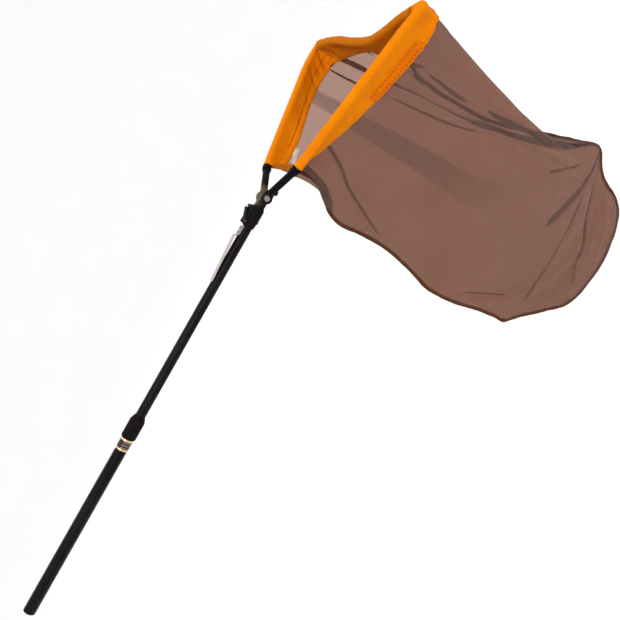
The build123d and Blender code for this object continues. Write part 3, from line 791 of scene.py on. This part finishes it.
# ------------------------------------------------------------------ bag
UP = np.array([0.0, 0.0, 0.004])
HEEL_POINT, FRONT_POINT = (0.077, 0.0, -0.026), (0.329, 0.002, -0.039)
near_mouth = [HEEL_POINT, (0.078, -0.020, -0.018)] + [tuple(np.array(p) + UP) for p in HEM_NEAR[0:9]]
near_mouth += [tuple(np.array(p) + UP) for p in HEM_FRONT[0:4]] + [(FRONT_POINT[0], -0.002, FRONT_POINT[2])]
far_mouth = [HEEL_POINT, (0.075, 0.032, -0.027)] + [tuple(np.array(p) + UP) for p in HEM_FAR]
far_mouth += [tuple(np.array(p) + UP) for p in reversed(HEM_FRONT[5:7])] + [FRONT_POINT]
NEAR_FOLDS = [
    ([(0.185, 0.0), (0.148, 0.064), (0.110, 0.138), (0.060, 0.210), (0.012, 0.275)], 0.009, 2.3, 0.0022),
    ([(0.075, 0.0), (0.056, 0.050), (0.032, 0.085), (0.004, 0.125)], 0.015, 2.9, 0.0040),
    ([(0.46, 0.648), (0.56, 0.680), (0.72, 0.722), (0.97, 0.758)], 0.013, 2.9, 0.0035),
    ([(0.03, 0.789), (0.23, 0.779), (0.46, 0.755), (0.70, 0.750), (0.93, 0.772)], 0.011, 2.2, 0.0030),
    ([(0.17, 0.935), (0.50, 0.881), (0.73, 0.817), (0.91, 0.785)], 0.011, 2.4, 0.0030),
    ([(0.70, 0.550), (0.78, 0.615), (0.86, 0.690)], 0.010, 2.3, 0.0025),
    ([(0.056, 0.570), (0.090, 0.640), (0.120, 0.735)], 0.008, 2.0, 0.0020),
    ([(0.87, 0.0), (0.93, 0.055), (0.965, 0.120), (0.970, 0.300)], 0.010, 2.5, 0.0025),
    ([(0.930, 0.300), (0.945, 0.420), (0.960, 0.560), (0.965, 0.740)], 0.012, 2.4, 0.0030)]
FAR_FOLDS = [
    ([(0.540, 0.0), (0.560, 0.101), (0.585, 0.180), (0.595, 0.290), (0.600, 0.400), (0.615, 0.560)],
     0.030, 0.7, 0.0050),
    ([(0.670, 0.0), (0.682, 0.083), (0.725, 0.174), (0.795, 0.367), (0.853, 0.460), (0.900, 0.578),
      (0.930, 0.770)], 0.011, 2.7, 0.0030),
    ([(0.718, 0.0), (0.735, 0.083), (0.768, 0.160), (0.815, 0.270), (0.868, 0.385), (0.905, 0.505),
      (0.945, 0.770)], 0.012, 2.8, 0.0030),
    ([(0.775, 0.0), (0.795, 0.073), (0.830, 0.156), (0.870, 0.255), (0.905, 0.385), (0.932, 0.505),
      (0.965, 0.770)], 0.021, 3.3, 0.0060),
    ([(0.955, 0.0), (0.950, 0.045), (0.940, 0.110), (0.945, 0.200), (0.965, 0.420)], 0.011, 2.7, 0.0025)]
near_net = bag_panel("near_net", -1, near_mouth, NEAR_FOLDS, net)
far_net = bag_panel("far_net", 1, far_mouth, FAR_FOLDS, far_net_cloth)
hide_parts("near_panel")
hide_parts("far_panel")
seam = seam_tape("bag_binding", binding)
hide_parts("seam_binding")

# ------------------------------------------------------------------ care tag
def care_tag(name, material):
    """The small blank label that hangs inside the far hem near the heel."""
    rows, flats = [], []
    for i in range(10):
        for k in range(6):
            a, b = i / 9, k / 5
            p = np.array([0.0915 + 0.032 * a + 0.002 * b, 0.0670 + 0.010 * a, -0.0345 + 0.001 * a - 0.010 * b])
            p += np.array([0, 0.0015, 0.0008]) * noise.noise(Vector((a * 2.2, b * 2.0, 4.0)))
            rows.append(p)
            flats.append((a * 0.034, b * 0.010))
    made = link_mesh(name, PIN + np.array(rows), grid_faces(10, 6))
    give_flat(made, flats)
    subdivide(made)
    thicken(made, TAG_THICK)
    apply_modifiers(made)
    cloth_piece(made, material)
    return made


tag = care_tag("care_label", tag_cloth)
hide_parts("care_tag")

# ------------------------------------------------------------------ floor, light, camera
def dish(name, centre, floor_z, flat_r, wall_r, height):
    """A pale floor that curves up all round into a plain backdrop."""
    profile = [(0.0, 0.0), (flat_r * 0.5, 0.0), (flat_r, 0.0)]
    for k in range(1, 13):
        a = math.pi / 2 * k / 12
        profile.append((flat_r + (wall_r - flat_r) * math.sin(a), (wall_r - flat_r) * (1 - math.cos(a))))
    profile.append((wall_r, height))
    around = 72
    verts, faces = [(centre[0], centre[1], floor_z)], []
    for r, h in profile[1:]:
        verts += [(centre[0] + r * math.cos(a), centre[1] + r * math.sin(a), floor_z + h)
                  for a in np.linspace(0, 2 * math.pi, around, endpoint=False)]
    faces += [(0, 1 + k, 1 + (k + 1) % around) for k in range(around)]
    for ring in range(len(profile) - 2):
        for k in range(around):
            a, b = 1 + ring * around + k, 1 + ring * around + (k + 1) % around
            faces.append((a, a + around, b + around, b))
    made = link_mesh(name, verts, faces)
    m = Nodes("floor_paint")
    cloudy = m.noise(3.0, 4.0, 0.6)
    m.set(Base_Color=m.mix(m.ramp(cloudy, 0.3, 0.7, 0.0, 1.0), rgb(0.94, 0.94, 0.94), rgb(0.955, 0.955, 0.955)),
          Roughness=0.9, Specular_IOR_Level=0.1)
    made.data.materials.append(m.material)


dish("floor", (PIN[0], 0.0), -1.25, 4.0, 7.0, 6.0)
area_light("key", (0.2, -2.6, 2.4), (0.95, 0.0, -0.3), 1.8, 62.0)
area_light("fill", (2.8, -1.8, 1.2), (1.0, 0.0, -0.3), 2.2, 16.0)
area_light("top", (0.9, 0.6, 3.2), (0.9, 0.0, -0.3), 2.6, 22.0)
area_light("back", (0.4, 2.8, 1.4), (0.9, 0.0, -0.3), 2.4, 14.0)
world = bpy.data.worlds.new("world")
world.use_nodes = True
world.node_tree.nodes["Background"].inputs["Color"].default_value = (1.0, 1.0, 1.0, 1.0)
world.node_tree.nodes["Background"].inputs["Strength"].default_value = 0.95
scene.world = world
scene.view_settings.view_transform = "Standard"
make_camera()
